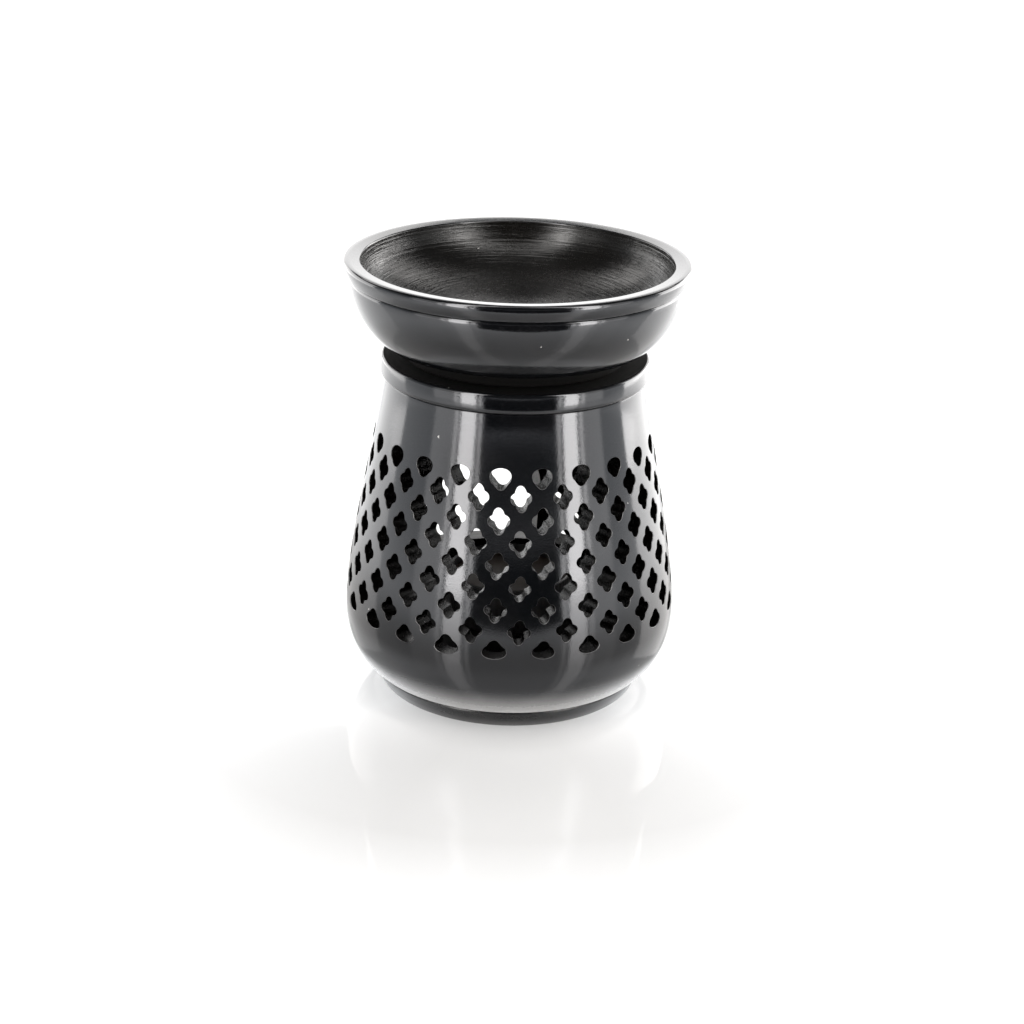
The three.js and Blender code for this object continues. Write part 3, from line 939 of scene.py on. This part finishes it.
def hanging_box(name, off_axis, elevation, distance, width, length, radiance):
    """The part of a soft box that leans in over the warmer, placed by its angle above the rim."""
    box = soft_box(name, off_axis, distance, width, length, radiance)
    angle = camera_azimuth + math.radians(off_axis)
    tilt = math.radians(elevation)
    outward = Vector((math.sin(angle) * math.cos(tilt), -math.cos(angle) * math.cos(tilt), math.sin(tilt)))
    aim(box, outward * distance + Vector((0, 0, rim_level * mm)), -outward)


hanging_box("left_hanging_box", -36.5, 67.0, 0.65, 0.13, 0.46, 5.0)
hanging_box("right_hanging_box", 46.0, 67.0, 0.65, 0.13, 0.46, 5.0)
hanging_box("left_rear_box", -153.0, 37.0, 0.9, 0.48, 0.22, 3.0)
hanging_box("right_rear_box", 155.0, 36.0, 0.9, 0.48, 0.22, 3.0)

card_right, card_left = 34, -24
card_near, card_far = 0.25, 2.5
card_corners = ((card_right, card_near), (card_left, card_near), (card_right, card_far), (card_left, card_far))
deselect_everything()
bpy.ops.mesh.primitive_plane_add(size=1)
black_card = bpy.context.object
black_card.name = "black_card"
for vertex, (off_axis, distance) in zip(black_card.data.vertices, card_corners):
    angle = camera_azimuth + math.radians(off_axis)
    vertex.co = (distance * math.sin(angle), -distance * math.cos(angle), mm)
black_velvet, velvet_tree, velvet_shader = new_finish("black_velvet")
velvet_shader.inputs["Base Color"].default_value = (0.004, 0.004, 0.004, 1)
velvet_shader.inputs["Roughness"].default_value = 1.0
velvet_shader.inputs["Specular IOR Level"].default_value = 0.0
velvet_sides = velvet_tree.nodes.new("ShaderNodeNewGeometry")
clear_side = velvet_tree.nodes.new("ShaderNodeBsdfTransparent")
one_side = velvet_tree.nodes.new("ShaderNodeMixShader")
velvet_tree.links.new(velvet_sides.outputs["Backfacing"], one_side.inputs["Fac"])
velvet_tree.links.new(velvet_shader.outputs["BSDF"], one_side.inputs[1])
velvet_tree.links.new(clear_side.outputs["BSDF"], one_side.inputs[2])
velvet_tree.links.new(one_side.outputs["Shader"], velvet_tree.nodes["Material Output"].inputs["Surface"])
black_card.data.materials.append(black_velvet)
# Painted reflection: the card only darkens what the stone mirrors; the camera doesn't see it and it casts no
# shadow.
black_card.visible_camera = False
black_card.visible_diffuse = False
black_card.visible_shadow = False

world = bpy.data.worlds.new("studio")
bpy.context.scene.world = world
world.use_nodes = True
studio = world.node_tree
studio_back = studio.nodes["Background"]
studio_back.inputs["Color"].default_value = (0.94, 0.97, 1, 1)
studio_ray = studio.nodes.new("ShaderNodeLightPath").outputs
direction = studio.nodes.new("ShaderNodeTexCoord").outputs["Generated"]
heading = vector_node(studio, "DOT_PRODUCT", direction, front_side)
room = map_range(studio, heading, -0.5, 0.9, 1.0, 0.05)
ceiling = map_range(studio, split_place(studio, direction)[2], 0.30, 0.46, 1.0, 0.12)
room_light = math_node(studio, "MULTIPLY", room, ceiling)
studio_strength = math_node(studio, "MAXIMUM", studio_ray["Is Camera Ray"], room_light)
studio.links.new(studio_strength, studio_back.inputs["Strength"])

# Camera. It stands a little above the rim, in front and to the left, with a long lens. It looks down at the
# warmer and leans slightly to one side.
camera_distance = 0.6283
camera_height = 0.3037
camera_pitch = 0.37791
camera_yaw = 0.00033
camera_roll = 0.02622
focal_pixels = 2154.9
frame_pixels = 1024
sensor_width = 36.0
lens = bpy.data.cameras.new("camera")
lens.sensor_width = sensor_width
lens.sensor_fit = "HORIZONTAL"
lens.lens = sensor_width * focal_pixels / frame_pixels
lens.clip_end = 20
camera = bpy.data.objects.new("camera", lens)
bpy.context.collection.objects.link(camera)
look_azimuth = camera_azimuth - camera_yaw
ahead = Vector((-math.sin(look_azimuth), math.cos(look_azimuth), 0))
forward = ahead * math.cos(camera_pitch) - Vector((0, 0, math.sin(camera_pitch)))
level_right = Vector((math.cos(look_azimuth), math.sin(look_azimuth), 0))
level_up = level_right.cross(forward)
right = level_right * math.cos(camera_roll) + level_up * math.sin(camera_roll)
up = level_up * math.cos(camera_roll) - level_right * math.sin(camera_roll)
place = Vector(front_side) * camera_distance + Vector((0, 0, camera_height))
camera.matrix_world = Matrix((
    (right.x, up.x, -forward.x, place.x),
    (right.y, up.y, -forward.y, place.y),
    (right.z, up.z, -forward.z, place.z),
    (0, 0, 0, 1),
))
bpy.context.scene.camera = camera
bpy.context.scene.view_settings.view_transform = "Standard"
